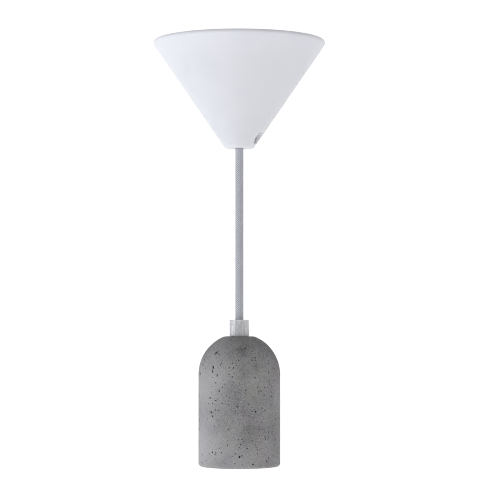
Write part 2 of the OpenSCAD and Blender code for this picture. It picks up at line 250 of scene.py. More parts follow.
def braid_coordinates(angle, along):
    """Where a point of the cord lies across the strands of the two winding directions."""
    turn = angle / TAU
    return (BRAID_CARRIERS * (turn + along / BRAID_LAY), BRAID_CARRIERS * (turn - along / BRAID_LAY))


def braid_height(a, b):
    """Height of the braid, 0 to 1: each crossing shows one strand as a pillow, over and under in turn."""
    fa, fb = a % 1, b % 1
    first_on_top = (np.floor(a) + np.floor(b)) % 2 < 1
    across = np.where(first_on_top, fa, fb)
    along = np.where(first_on_top, fb, fa)
    return np.sin(math.pi * across) ** 0.6 * (0.55 + 0.45 * np.sin(math.pi * along))


def braided_tube(name, path, step, sides, start_along=0.0, fuller=0.0):
    """A cord along the path with the braid as relief, and the braid's coordinates as its UV map."""
    path = resampled(path, step)
    along = start_along + step * np.arange(len(path))
    angle, ring = rings_round(path, sides)
    a, b = braid_coordinates(angle[None, :], along[:, None])
    radius = CORD_R + fuller + BRAID_RELIEF * (braid_height(a, b) - BRAID_SUNK)

    def uv(i, j):
        return braid_coordinates(TAU * j / sides, along[min(i, len(along) - 1)])

    mesh = grid_mesh(name, path[:, None] + radius[:, :, None] * ring, False, True, uv)
    shade_smooth(mesh, 180)
    cap_ends(mesh)
    piece = add_object(name, mesh)
    piece.data.materials.append(MATERIALS["cord_textile"])
    return piece, path


def straight_run(top, bottom):
    """Points straight down the cord's axis."""
    return np.array([(0, 0, z) for z in np.linspace(top, bottom, 20)])


def turn_down(angle, rows):
    """Height of the cord after that many degrees: flat turns, each with one smooth step to the next."""
    turns, part = divmod(angle / 360, 1)
    step = max(0.0, (part - COIL_STEP_START) / (1 - COIL_STEP_START))
    at = min(turns + (1 - math.cos(math.pi * step)) / 2, len(rows) - 1)
    return float(np.interp(at, range(len(rows)), rows))


def coil_route():
    """The spare cord's turns: down the inner column, one step out, and up the outer column."""
    rows = [COIL_TOP_ROW - COIL_PITCH * k for k in range(3)]
    outer_r = COIL_INNER_R + COIL_PITCH
    points = []
    for degrees in np.arange(0, 360 * (COIL_INNER_TURNS + COIL_OUTER_TURNS) + 0.1, 6):
        inner = degrees < 360 * COIL_INNER_TURNS
        if inner:
            last_turn = max(0.0, degrees / 360 - (COIL_INNER_TURNS - 1))
            step = max(0.0, (last_turn - COIL_STEP_START) / (1 - COIL_STEP_START))
            r = COIL_INNER_R + COIL_PITCH * (1 - math.cos(math.pi * step)) / 2
            z = turn_down(min(degrees, 360 * (COIL_INNER_TURNS - 1)), rows)
        else:
            r = outer_r
            z = turn_down(degrees - 360 * COIL_INNER_TURNS, rows[::-1])
        a = -math.radians(degrees)
        points.append((r * math.cos(a), r * math.sin(a), z))
    return np.array(points)


def make_cords():
    """The hanging cord in its two stretches, and the spare cord with its ties."""
    upper, path = braided_tube("cord_hanging", straight_run(CLAMP_TOP, LINK_MIDDLE_Z), **STRAIGHT)
    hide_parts("cord_upper")
    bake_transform(upper)
    length = CLAMP_TOP - LINK_MIDDLE_Z

    lower, path = braided_tube("cord_to_grip", straight_run(LINK_MIDDLE_Z, JACKET_END_Z),
                               start_along=length, **STRAIGHT)
    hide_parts("cord_link", "cord_lower")
    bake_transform(lower)

    route = np.concatenate([bezier_line(FEED_POINTS, 60)[:-1], coil_route()])
    coiled, path = braided_tube("cord_coiled", route, **COILED)
    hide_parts("cord_feed", "cord_coil")
    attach(coiled, "ceiling")
    [make_tie(i, angle) for i, angle in enumerate(TIE_ANGLES, 1)]


# ---------------------------------------------------------------- materials

class Shader:
    """A node material, with short calls to add and join its nodes.

    An input is named by its socket, with _ for a space, or by its number as i_0, i_1 and so on.
    """

    def __init__(self, name):
        self.material = bpy.data.materials.new(name)
        self.material.use_nodes = True
        self.tree = self.material.node_tree
        self.surface = self.tree.nodes["Principled BSDF"]

    def node(self, kind, settings=None, **inputs):
        made = self.tree.nodes.new("ShaderNode" + kind)
        for key, value in (settings or {}).items():
            setattr(made, key, value)
        for key, value in inputs.items():
            socket = int(key[2:]) if key.startswith("i_") else key.replace("_", " ")
            self.feed(made.inputs[socket], value)
        return made

    def feed(self, socket, value):
        if isinstance(value, bpy.types.NodeSocket):
            self.tree.links.new(value, socket)
        else:
            socket.default_value = value

    def set(self, **inputs):
        for key, value in inputs.items():
            self.feed(self.surface.inputs[key.replace("_", " ")], value)

    def scatter(self, weight, radius):
        """Lets that share of the light into the material, and that far through it."""
        self.set(Subsurface_Weight=weight, Subsurface_Radius=(radius, radius, radius),
                 Subsurface_Scale=1.0)

    def place(self):
        return self.node("TexCoord").outputs["Object"]

    def noise(self, scale, detail=4.0, rough=0.55, at=None, distortion=0.0):
        return self.node("TexNoise", Vector=at or self.place(), Scale=scale, Detail=detail,
                         Roughness=rough, Distortion=distortion).outputs["Fac"]

    def math(self, kind, a, b=0.0, c=None):
        inputs = {"i_0": a, "i_1": b} if c is None else {"i_0": a, "i_1": b, "i_2": c}
        return self.node("Math", {"operation": kind}, **inputs).outputs[0]

    def vector(self, kind, a, b=(0, 0, 0), output="Vector"):
        return self.node("VectorMath", {"operation": kind}, i_0=a, i_1=b).outputs[output]

    def span(self, value, start, stop, to_start=0.0, to_stop=1.0):
        """Eases from one value to another while the input goes from start to stop."""
        return self.node("MapRange", {"interpolation_type": "SMOOTHSTEP"}, Value=value, From_Min=start,
                         From_Max=stop, To_Min=to_start, To_Max=to_stop).outputs[0]

    def mix(self, factor, a, b):
        made = self.node("Mix", {"data_type": "RGBA"})
        for socket, value in ((made.inputs[0], factor), (made.inputs[6], a), (made.inputs[7], b)):
            self.feed(socket, value)
        return made.outputs[2]

    def bump(self, height, depth, strength=1.0, after=None):
        made = self.node("Bump", Height=height, Distance=depth, Strength=strength)
        if after is not None:
            self.tree.links.new(after, made.inputs["Normal"])
        return made.outputs["Normal"]


def rgb(r, g, b):
    return (r, g, b, 1.0)


def moulded_plastic(name, colour, other, roughness, grain_depth=0.00003, grain_scale=900.0):
    """Moulded plastic: a faint cloud in the colour, uneven gloss and a fine spark-eroded grain."""
    s = Shader(name)
    cloud = s.span(s.noise(28, 3), 0.35, 0.65)
    gloss = s.noise(160, 4)
    s.set(Base_Color=s.mix(cloud, colour, other), IOR=1.49,
          Roughness=s.span(gloss, 0.3, 0.7, roughness - 0.05, roughness + 0.07),
          Normal=s.bump(s.noise(grain_scale, 2), grain_depth, 0.5))
    return s


def canopy_white():
    s = moulded_plastic("canopy_plastic", rgb(0.79, 0.797, 0.855), rgb(0.765, 0.774, 0.836), 0.46)
    s.set(Specular_IOR_Level=0.35)
    s.scatter(0.45, 0.006)
    return s.material


def nylon_white():
    return moulded_plastic("nylon_plastic", rgb(0.88, 0.87, 0.83), rgb(0.82, 0.81, 0.77), 0.40).material


def terminal_white():
    return moulded_plastic("terminal_plastic", rgb(0.74, 0.75, 0.74), rgb(0.68, 0.69, 0.69), 0.35).material


def holder_white():
    return moulded_plastic("holder_plastic", rgb(0.79, 0.79, 0.77), rgb(0.74, 0.74, 0.72), 0.28,
                           0.00001).material


def grip_frosted():
    """Frosted plastic: cloudy, with faint upright draw marks and scuffs."""
    s = Shader("grip_plastic")
    marks = s.node("Mapping", Vector=s.place(), Scale=(1, 1, 0.05)).outputs["Vector"]
    streaks = s.noise(430, 3, at=marks)
    cloud = s.noise(520, 4)
    tint = s.mix(s.span(streaks, 0.36, 0.64), rgb(0.58, 0.58, 0.605), rgb(0.80, 0.80, 0.805))
    s.set(Base_Color=s.mix(s.span(cloud, 0.45, 0.68, 0, 0.5), tint, rgb(0.44, 0.442, 0.442)), IOR=1.49,
          Roughness=s.span(cloud, 0.3, 0.7, 0.34, 0.5), Specular_IOR_Level=0.2,
          Normal=s.bump(streaks, 0.00005, 0.5))
    s.scatter(1.0, 0.004)
    return s.material


def cord_textile():
    """Satin textile braid: the strand that lies on top at each crossing and its yarns, with painted shade
    in the gaps between strands and partly painted sheen in the two strand directions.
    """
    s = Shader("cord_braid")
    place = s.node("UVMap", {"uv_map": "weave"}).outputs["UV"]
    parts = s.node("SeparateXYZ", Vector=place)
    a, b = parts.outputs["X"], parts.outputs["Y"]
    crossing = s.math("ADD", s.math("FLOOR", a), s.math("FLOOR", b))
    second_on_top = s.math("FLOORED_MODULO", crossing, 2.0)

    def wave(value, turns):
        return s.math("SINE", s.math("MULTIPLY", value, turns))

    def choose(first, second):
        made = s.node("Mix", {"data_type": "FLOAT"})
        for socket, value in ((made.inputs[0], second_on_top), (made.inputs[2], first),
                              (made.inputs[3], second)):
            s.feed(socket, value)
        return made.outputs[0]

    across = choose(s.math("FRACT", a), s.math("FRACT", b))
    pillow = wave(across, math.pi)
    yarns = s.math("MULTIPLY_ADD", wave(across, 4 * TAU), 0.5, 0.5)
    strand = s.node("TexWhiteNoise", {"noise_dimensions": "1D"},
                    W=choose(s.math("FLOOR", a), s.math("FLOOR", b))).outputs["Value"]
    fibres = s.noise(2600, 3)
    length = wave(choose(s.math("FRACT", b), s.math("FRACT", a)), math.pi)
    # The crown of each strand against the gaps between strands, which get painted shade.
    top = s.math("MULTIPLY", s.span(pillow, 0.2, 0.8), s.span(length, 0.0, 0.75, 0.25, 1.0))
    # The two winding directions in two tones: partly the strands' own tone, partly painted sheen that one
    # direction catches.
    bright = s.mix(second_on_top, rgb(0.76, 0.775, 0.845), rgb(0.645, 0.66, 0.724))
    colour = s.mix(top, rgb(0.256, 0.262, 0.290), bright)
    colour = s.mix(s.math("MULTIPLY", yarns, 0.28), colour, rgb(0.30, 0.31, 0.36))
    colour = s.mix(s.math("MULTIPLY", strand, 0.30), colour, rgb(0.66, 0.67, 0.73))
    colour = s.mix(s.span(fibres, 0.35, 0.75, 0, 0.25), colour, rgb(0.27, 0.28, 0.31))
    relief = s.bump(pillow, 0.00012, 0.6)
    s.set(Base_Color=colour, IOR=1.5, Roughness=s.span(fibres, 0.3, 0.7, 0.42, 0.58),
          Sheen_Weight=0.25, Sheen_Roughness=0.4, Normal=s.bump(yarns, 0.00004, 0.6, relief))
    return s.material


# Darker patches: degrees to the right of the front, millimetres below the top, radius in millimetres
# and strength. The first, across the dome's top, is painted shade that darkens the top.
DARK_PATCHES = [(0, 0.5, 21, 0.34), (3, 10.5, 6, 0.5), (26, 21.5, 4.5, 0.4), (8, 26, 10, 0.22),
          (-14, 39, 12, 0.22), (16, 68, 12, 0.5), (-22, 64, 10, 0.22), (-75, 52, 12, 0.25),
          (95, 30, 12, 0.3), (140, 62, 14, 0.3), (-130, 24, 12, 0.3), (180, 44, 10, 0.25),
          (-165, 78, 9, 0.3)]

# Paler patches, in the same terms. The two large ones on the left side are painted light from the left.
PALE_PATCHES = [(-72, 80, 42, 0.62), (-58, 38, 34, 0.44), (4, 92, 22, 0.24), (58, 48, 26, 0.16),
          (78, 84, 26, 0.22), (150, 40, 30, 0.4), (-150, 70, 26, 0.35)]

DARK_PATCH_TINT = (0.10, 0.10, 0.098, 1.0)
PALE_PATCH_TINT = (0.55, 0.54, 0.56, 1.0)

# How far a noise moves the edges of those patches, which makes them ragged
RAGGED = 0.009


def casting_radius(z):
    """Outer radius of the concrete at that height."""
    if z <= DOME_Z:
        return BODY_R
    return math.sqrt(max(0.0, BODY_R ** 2 - (z - DOME_Z) ** 2))


def casting_point(degrees, z):
    """The point of the concrete's outside that many degrees to the right of the front."""
    a, r = math.radians(degrees), casting_radius(z)
    return Vector((r * math.sin(a), -r * math.cos(a), z))


def concrete():
    """Cast concrete: cement paste in several greys, sand grains, darker and paler patches, pinholes and
    tiny pores with painted shade in them, and a fine skin.
    """
    s = Shader("cast_concrete")
    at = s.place()
    clouds = s.noise(38, 5, 0.6, at, 0.4)
    patches = s.noise(95, 6, 0.65, at, 0.8)
    sand = s.noise(1500, 4, 0.7, at)
    blotch = s.noise(16, 3, 0.5, at, 0.3)
    tone = s.noise(26, 4, 0.55, at, 0.6)
    colour = s.mix(s.span(clouds, 0.32, 0.68), rgb(0.198, 0.193, 0.213), rgb(0.330, 0.320, 0.330))
    colour = s.mix(s.span(patches, 0.42, 0.72, 0, 0.6), colour, rgb(0.275, 0.272, 0.255))
    colour = s.mix(s.span(tone, 0.50, 0.62, 0, 0.3), colour, rgb(0.262, 0.270, 0.240))
    colour = s.mix(s.span(tone, 0.50, 0.38, 0, 0.35), colour, rgb(0.285, 0.254, 0.268))
    colour = s.mix(s.span(blotch, 0.55, 0.72, 0, 0.55), colour, rgb(0.172, 0.170, 0.168))
    colour = s.mix(s.span(sand, 0.50, 0.68, 0, 0.75), colour, rgb(0.46, 0.452, 0.455))
    colour = s.mix(s.span(sand, 0.50, 0.34, 0, 0.75), colour, rgb(0.115, 0.113, 0.114))
    edges = s.node("TexNoise", Vector=at, Scale=110.0, Detail=4.0).outputs["Color"]
    moved = s.vector("ADD", at, s.vector("MULTIPLY", edges, (RAGGED, RAGGED, RAGGED)))
    # Darker and paler patches: the darker one across the dome's top is painted shade, and the two large
    # pale ones on the left are painted light.
    for areas, tint in ((DARK_PATCHES, DARK_PATCH_TINT), (PALE_PATCHES, PALE_PATCH_TINT)):
        for degrees, down, radius, strength in areas:
            centre = casting_point(degrees, BODY_TOP - down / 1000) + Vector([RAGGED / 2] * 3)
            gap = s.vector("DISTANCE", moved, tuple(centre), "Value")
            colour = s.mix(s.span(gap, radius / 1000, 0, 0, strength), colour, tint)
    # Tiny pores scattered thinly: painted shade darkens them, and the bump below sinks them.
    cells = s.node("TexVoronoi", {"feature": "F1"}, Vector=at, Scale=420.0, Randomness=1.0)
    thinly = s.math("GREATER_THAN", s.node("SeparateColor", Color=cells.outputs["Color"]).outputs[0], 0.82)
    shaded_pores = s.math("MULTIPLY", s.span(cells.outputs["Distance"], 0.30, 0.14), thinly)
    colour = s.mix(s.math("MULTIPLY", shaded_pores, 0.8), colour, rgb(0.06, 0.058, 0.056))
    # Painted shade inside the pinholes, read from the layer that sink_skin fills.
    painted_pit_shade = s.node("Attribute", {"attribute_name": "painted_pit_shade"}).outputs["Fac"]
    colour = s.mix(s.math("MULTIPLY", painted_pit_shade, 0.85), colour, rgb(0.02, 0.0195, 0.019))
    skin = s.bump(s.noise(620, 6, 0.7, at), 0.00022, 0.7)
    holes = s.bump(s.math("MULTIPLY", shaded_pores, -1.0), 0.0003, 0.8, skin)
    s.set(Base_Color=colour, IOR=1.5, Roughness=s.span(patches, 0.3, 0.7, 0.84, 0.95), Normal=holes,
          Specular_IOR_Level=0.2)
    return s.material


def metal(name, colour, other, roughness, grain=(1, 1, 1)):
    """Metal with drawn or turned marks along the stretched axis, and a little tarnish."""
    s = Shader(name)
    drawn = s.node("Mapping", Vector=s.place(), Scale=grain).outputs["Vector"]
    marks = s.noise(2400, 3, at=drawn)
    tarnish = s.span(s.noise(120, 4), 0.4, 0.7)
    s.set(Base_Color=s.mix(tarnish, colour, other), Metallic=1.0,
          Roughness=s.span(marks, 0.25, 0.75, roughness - 0.06, roughness + 0.12),
          Normal=s.bump(marks, 0.000015, 0.5))
    return s.material


def zinc_steel():
    return metal("zinc_steel", rgb(0.62, 0.63, 0.65), rgb(0.50, 0.50, 0.50), 0.34)


def brass():
    return metal("brass", rgb(0.78, 0.60, 0.30), rgb(0.62, 0.44, 0.20), 0.30)


def nickel_shell():
    return metal("nickel_plate", rgb(0.72, 0.69, 0.63), rgb(0.66, 0.63, 0.57), 0.22, (0.15, 0.15, 1))


def steatite():
    """Unglazed steatite: a chalky pressed ceramic with a sandy surface."""
    s = Shader("steatite")
    cloud = s.span(s.noise(60, 4), 0.35, 0.65)
    grain = s.noise(1400, 4)
    s.set(Base_Color=s.mix(cloud, rgb(0.78, 0.75, 0.68), rgb(0.70, 0.67, 0.60)), IOR=1.55,
          Roughness=s.span(grain, 0.3, 0.7, 0.62, 0.78), Normal=s.bump(grain, 0.00006, 0.6))
    return s.material


def core_sheath(name, colour, other):
    """Soft PVC sheath of a core, with faint extrusion waviness."""
    s = Shader(name)
    s.set(Base_Color=s.mix(s.span(s.noise(300, 3), 0.35, 0.65), colour, other), IOR=1.52,
          Roughness=s.span(s.noise(900, 3), 0.3, 0.7, 0.30, 0.42),
          Normal=s.bump(s.noise(700, 2), 0.00003, 0.5))
    return s.material


def core_brown():
    return core_sheath("core_brown", rgb(0.16, 0.060, 0.028), rgb(0.12, 0.045, 0.020))


def core_blue():
    return core_sheath("core_blue", rgb(0.035, 0.14, 0.42), rgb(0.025, 0.11, 0.35))


MAKERS = [canopy_white, nylon_white, terminal_white, zinc_steel, brass, cord_textile, core_brown,
          core_blue, grip_frosted, concrete, holder_white, steatite, nickel_shell]
MATERIALS = {maker.__name__: maker() for maker in MAKERS}


def dress(piece, slot):
    piece.data.materials.clear()
    piece.data.materials.append(MATERIALS[slot])
    return piece


# ---------------------------------------------------------------- cable ties on the coil

TIE_THICK = 0.0011
TIE_WIDTH = 0.0036
TIE_GAP = 0.00015
TIE_CORNER = 0.0022

# Where the strap's outside changes height across its width, and the height of its thinner edges
TIE_ACROSS = np.array([-0.5, -0.42, -0.3, 0.3, 0.42, 0.5])
TIE_EDGE = 0.75


def tie_section(cx, cz, angle):
    """The strap's section at that angle of one of its rounded corners, centred on cx and cz."""
    def point(r, v):
        return (cx + r * math.cos(angle), v * TIE_WIDTH, cz + r * math.sin(angle))

    inside = [point(TIE_CORNER, v) for v in TIE_ACROSS[[0, -1]]]
    outside = [point(TIE_CORNER + TIE_THICK * (1.0 if abs(v) < 0.35 else TIE_EDGE), v)
               for v in TIE_ACROSS[::-1]]
    return inside + outside


def make_tie(number, degrees):
    """A cable tie: a strap hugging the coil's section, its head and its cut tail."""
    spare = TIE_THICK + 0.00005
    inner_r = COIL_INNER_R - CORD_R - TIE_GAP
    left, right = inner_r + TIE_CORNER, COIL_INNER_R + COIL_PITCH + CORD_R + TIE_GAP - TIE_CORNER
    top, bottom = high("coil_ties").z - spare - TIE_CORNER, low("coil_ties").z + spare + TIE_CORNER
    corners = ((right, top, 0), (left, top, 90), (left, bottom, 180), (right, bottom, 270))
    rows = [tie_section(cx, cz, math.radians(start + 9 * k)) for cx, cz, start in corners
            for k in range(11)]
    mesh = grid_mesh(f"cable_tie_{number}", np.array(rows), True, True)
    bm = bmesh.new()
    bm.from_mesh(mesh)
    head_low = Vector((inner_r - 0.0041, -0.0026, 0.0001))
    head_high = Vector((inner_r - 0.0003, 0.0026, 0.0044))
    add_box(bm, head_low, head_high, 0.0006)
    tail_z = (head_low.z + head_high.z) / 2
    add_box(bm, Vector((inner_r - TIE_THICK, -0.0015, head_high.z - 0.0002)),
            Vector((inner_r - 0.0002, 0.0015, tail_z + 0.0036)), 0.0002)
    bmesh.ops.recalc_face_normals(bm, faces=bm.faces)
    bmesh.ops.rotate(bm, verts=bm.verts, matrix=Matrix.Rotation(math.radians(degrees), 3, "Z"))
    bm.to_mesh(mesh)
    bm.free()
    shade_smooth(mesh, 35)
    tie = dress(add_object(f"cable_tie_{number}", mesh), "nylon_white")
    if number == 1:
        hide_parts("coil_ties")
    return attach(tie, "ceiling")


def add_box(bm, corner_low, corner_high, edge):
    """A box with rounded edges, added to bm."""
    made = bmesh.ops.create_cube(bm, size=1)["verts"]
    middle, size = (corner_low + corner_high) / 2, corner_high - corner_low
    for v in made:
        v.co = Vector(v.co[k] * size[k] + middle[k] for k in range(3))
    edges = list({e for v in made for e in v.link_edges})
    bmesh.ops.bevel(bm, geom=edges, offset=edge, segments=2, affect="EDGES", profile=0.5)


# ---------------------------------------------------------------- concrete casting

# The larger pinholes seen from the front: degrees to the right of the front, millimetres below the
# top, width and height in millimetres, and lean in degrees
PINHOLES = [
    (-41, 11.5, 1.7, 3.6, 40), (-40, 22, 1.3, 2.3, -10), (-40, 25.2, 1.0, 1.9, -15),
    (-32, 27.8, 0.8, 2.0, 15), (-28, 20.3, 0.8, 1.0, 20), (-26.5, 19, 0.7, 0.8, 0),
    (-14, 22, 0.7, 0.7, 0), (-8, 22.2, 0.9, 0.9, 0), (-4, 20.6, 0.5, 0.9, 0),
    (-29, 39, 0.9, 1.4, -20), (-44, 44, 0.9, 1.2, -15), (-34, 46, 0.8, 0.9, 0),
    (-20, 34, 0.6, 0.7, 0), (-65, 16.7, 0.8, 1.0, 0), (-63, 20.6, 0.8, 1.6, -10),
    (-24, 8.5, 0.6, 1.0, 20), (0, 11.7, 0.8, 0.7, 0), (-3, 9.1, 0.8, 0.8, 0), (4, 9.4, 0.8, 0.8, 0),
    (10.5, 8.6, 1.6, 1.1, 0), (25.5, 14.9, 1.1, 0.9, 0), (35, 11.6, 0.7, 0.8, 0),
    (60, 23.5, 0.8, 1.7, -15), (38, 36.5, 0.9, 0.6, 0), (44, 36.6, 0.7, 0.9, 0),
    (32, 39, 0.8, 0.9, 0), (37, 42, 0.9, 0.9, 0), (51, 43, 0.8, 0.9, -20), (9, 38.4, 0.9, 0.6, 0),
    (-42.5, 54.3, 0.9, 2.3, -32), (-40.2, 57.4, 0.85, 2.1, -32), (-2.5, 50, 0.8, 0.9, 0),
    (23.5, 53.8, 1.1, 0.9, -30), (61, 59.2, 0.9, 1.3, -10), (63, 61.4, 0.7, 1.0, -15),
    (54.5, 64.5, 0.7, 0.8, 0), (29, 66.5, 0.7, 0.8, 0), (39, 72, 0.7, 1.2, 30), (62, 74.5, 0.9, 0.9, 0),
    (4, 73.5, 0.7, 0.7, 0), (2, 77, 1.0, 0.7, 0), (-16.5, 77.5, 0.8, 0.8, 0), (0, 79.2, 0.8, 0.6, 0),
    (11, 80, 0.8, 0.8, -20), (-40.5, 83.2, 1.1, 1.2, 20), (-35.5, 84.6, 0.9, 0.7, 0),
    (-25.5, 83, 0.8, 0.8, 0), (-28.5, 80, 0.6, 0.7, 0), (0.5, 86, 1.5, 1.5, 35),
    (19.5, 91.4, 1.1, 1.1, 0), (42, 89.6, 1.1, 1.3, -10), (26.5, 84, 0.7, 0.7, 0),
]

# The scattered pinholes bring the number up to this. Those that the front view sees are kept small.
PINHOLE_COUNT = 200
FRONT_DEGREES = 70

# across and along lie in the skin, and each is 1 over the pinhole's half-width in its direction long
# The last field is how dark the pinhole is painted: painted shade inside it, stronger for wider ones.
Pinhole = namedtuple("Pinhole", "centre across along depth darkness")


def pinholes():
    """The placed pinholes, then the scattered ones."""
    rng = random.Random(11)
    found = [(d, BODY_TOP - down / 1000, w / 2000, h / 2000, lean) for d, down, w, h, lean in PINHOLES]
    while len(found) < PINHOLE_COUNT:
        degrees, z = rng.uniform(-180, 180), rng.uniform(BODY_BOTTOM + 0.002, BODY_TOP - 0.002)
        half = rng.choice((0.20, 0.25, 0.30, 0.35, 0.45, 0.6)) / 1000
        tall = half * rng.choice((1, 1, 1.2, 1.6, 2.2))
        if abs(degrees) > FRONT_DEGREES:
            half, tall = half * 1.25, tall * 1.25
        else:
            half, tall = min(half, 0.00025), min(tall, 0.00036)
        found.append((degrees, z, half, tall, rng.uniform(-50, 50)))
    made = []
    for degrees, z, half, tall, lean in found:
        centre = casting_point(degrees, z)
        out = Vector((centre.x, centre.y, max(0.0, z - DOME_Z))).normalized()
        side = Vector((math.cos(math.radians(degrees)), math.sin(math.radians(degrees)), 0))
        up = side.cross(out)
        up = -up if up.z < 0 else up
        turn = Matrix.Rotation(math.radians(-lean), 3, out)
        made.append(Pinhole(centre, turn @ side / half, turn @ up / tall,
                            depth=1.5 * min(half, 0.0006) + 0.00035,
                            darkness=min(1.0, half / 0.0005) ** 1.1))
    return made


# No pinhole reaches further than this, and its soft rim reaches that much beyond its half-widths
PINHOLE_REACH = 0.0025
PINHOLE_RIM = 1.12

CASTING_SIDES = 168
FOOT_R = 0.0024
CAVITY_R = 0.0225
CAVITY_TOP = BODY_BOTTOM + 0.072
CAVITY_CORNER = 0.002
MOUTH_EDGE = 0.001
BORE_R = 0.0052

# The skin is all that lies outside this radius or above this height, and the cavity's wall isn't in it
SKIN_R = 0.0242
SKIN_Z = DOME_Z + 0.004


def casting_profile():
    """The section of the casting as radius and height: foot, outside, dome, bore, cavity and foot."""
    def arc(cx, cz, r, start, stop, count):
        return [(cx + r * math.cos(math.radians(a)), cz + r * math.sin(math.radians(a)))
                for a in np.linspace(start, stop, count)]

    def upright(r, start, stop, count):
        return [(r, z) for z in np.linspace(start, stop, count)]

    def level(z, start, stop, count):
        return [(r, z) for r in np.linspace(start, stop, count)]

    corner_r, corner_z = CAVITY_R - CAVITY_CORNER, CAVITY_TOP - CAVITY_CORNER
    mouth_r = CAVITY_R + MOUTH_EDGE
    flat_angle = math.degrees(math.asin((BODY_TOP - DOME_Z) / BODY_R))
    return (arc(BODY_R - FOOT_R, BODY_BOTTOM + FOOT_R, FOOT_R, -90, 0, 8)
            + upright(BODY_R, BODY_BOTTOM + FOOT_R, DOME_Z, 54)[1:-1]
            + arc(0, DOME_Z, BODY_R, 0, flat_angle - 1.5, 30)
            + [(BODY_FLAT_R - 0.0008, BODY_TOP), (0.0085, BODY_TOP), (0.007, BODY_TOP)]
            + upright(BORE_R, BODY_TOP, CAVITY_TOP, 8)
            + level(CAVITY_TOP, BORE_R, corner_r, 8)[1:-1]
            + arc(corner_r, corner_z, CAVITY_CORNER, 90, 0, 5)
            + upright(CAVITY_R, corner_z, BODY_BOTTOM + MOUTH_EDGE, 30)[1:]
            + level(BODY_BOTTOM, mouth_r, BODY_R - FOOT_R, 5)[:-1])


def in_skin(point):
    return math.hypot(point.x, point.y) > SKIN_R or point.z > SKIN_Z


def refine_round_pinholes(bm, holes):
    """Splits the faces round each pinhole, in three rounds, until they are small beside it."""
    centres = np.array([hole.centre for hole in holes])
    longer = np.array([1 / min(hole.across.length, hole.along.length) for hole in holes])
    shorter = np.array([1 / max(hole.across.length, hole.along.length) for hole in holes])
    for share in (3.0, 2.4, 1.9):
        chosen = set()
        reach = share * longer + 0.0003
        for face in bm.faces:
            middle = face.calc_center_median()
            if not in_skin(middle):
                continue
            size = math.sqrt(face.calc_area())
            near = np.linalg.norm(centres - np.array(middle), axis=1) < reach + size * 0.5
            if (near & (size > 0.28 * shorter)).any():
                chosen.update(face.edges)
        bmesh.ops.subdivide_edges(bm, edges=list(chosen), cuts=1, use_grid_fill=True)
        bmesh.ops.triangulate(bm, faces=[f for f in bm.faces if len(f.verts) > 4])


def sink_skin(bm, holes):
    """Lets the outer skin sag unevenly, presses the pinholes in, and marks the painted shade inside them
    in a layer of the mesh.
    """
    pit_shade_layer = bm.verts.layers.float.new("painted_pit_shade")
    for v in bm.verts:
        if not in_skin(v.co):
            continue
        sink = 0.00009 * (1 + noise.noise(v.co * 90)) + 0.00004 * (1 + noise.noise(v.co * 420))
        for hole in holes:
            away = v.co - hole.centre
            if away.length > PINHOLE_REACH:
                continue
            q = math.hypot(away.dot(hole.across), away.dot(hole.along))
            q /= PINHOLE_RIM * (1 + 0.2 * noise.noise(v.co * 1500))
            if q < 1:
                deep = 1 - q ** 4
                sink += hole.depth * deep
                # Painted shade inside the pinhole, strongest towards its middle.
                v[pit_shade_layer] = max(v[pit_shade_layer], hole.darkness * min(1.0, 1.6 * deep))
        v.co -= v.normal * sink


def make_casting():
    """The concrete body, turned from its section, with its skin."""
    angles = np.arange(CASTING_SIDES) * TAU / CASTING_SIDES
    points = np.array([[(r * math.cos(a), r * math.sin(a), z) for a in angles]
                       for r, z in casting_profile()])
    mesh = grid_mesh("concrete_casting", points, True, True)
    bm = bmesh.new()
    bm.from_mesh(mesh)
    bmesh.ops.recalc_face_normals(bm, faces=bm.faces)
    holes = pinholes()
    refine_round_pinholes(bm, holes)
    sink_skin(bm, holes)
    bm.to_mesh(mesh)
    bm.free()
    shade_smooth(mesh, 50)
    casting = dress(add_object("concrete_casting", mesh), "concrete")
    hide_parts("concrete_body")
    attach(casting, "pendant")


# ---------------------------------------------------------------- E27 screw shell

THREAD_PITCH = 0.003629
THREAD_R = 0.01333
THREAD_WAVE = 0.00048
SHELL_SHEET = 0.00035
NECK_R = 0.0118
NECK_HEIGHT = 0.0035
NECK_TAPER = 0.003
THREAD_RUN_IN = 0.0015
FLANGE_R = 0.0164
FLANGE_THICK = 0.0006


def make_screw_shell():
    """The thin plated shell with its rolled Edison thread and its flange."""
    top, bottom = high("screw_shell").z, low("screw_shell").z
    neck_z = top - NECK_HEIGHT
    angle = np.arange(96) * TAU / 96

    def ring(r, z):
        return np.stack([r * np.cos(angle), r * np.sin(angle), np.full(len(angle), z)], axis=1)

    inner, outer = [], []
    for z in np.linspace(bottom, neck_z, 150):
        fade = min(1.0, (z - bottom) / THREAD_RUN_IN) * min(1.0, (neck_z - z) / NECK_TAPER)
        narrow = max(0.0, 1 - (neck_z - z) / NECK_TAPER) * (THREAD_R - NECK_R)
        r = THREAD_R - narrow + THREAD_WAVE * fade * np.cos(TAU * z / THREAD_PITCH - angle)
        inner.append(ring(r, z))
        outer.append(ring(r + SHELL_SHEET, z))
    head = [ring(0.0115, top - 0.0001), ring(FLANGE_R, top - 0.0001),
            ring(FLANGE_R, top - FLANGE_THICK), ring(0.0121, top - FLANGE_THICK)]
    mesh = grid_mesh("thread_shell", np.array(inner + head + outer[::-1]), True, True)
    shade_smooth(mesh, 45)
    shell = dress(add_object("thread_shell", mesh), "nickel_shell")
    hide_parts("screw_shell")
    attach(shell, "pendant")


# ---------------------------------------------------------------- cores

def make_core(name, route, node, slot, body):
    core = dress(plain_tube(name, smooth_line(route), CORE_R), slot)
    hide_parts(node)
    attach(core, body)


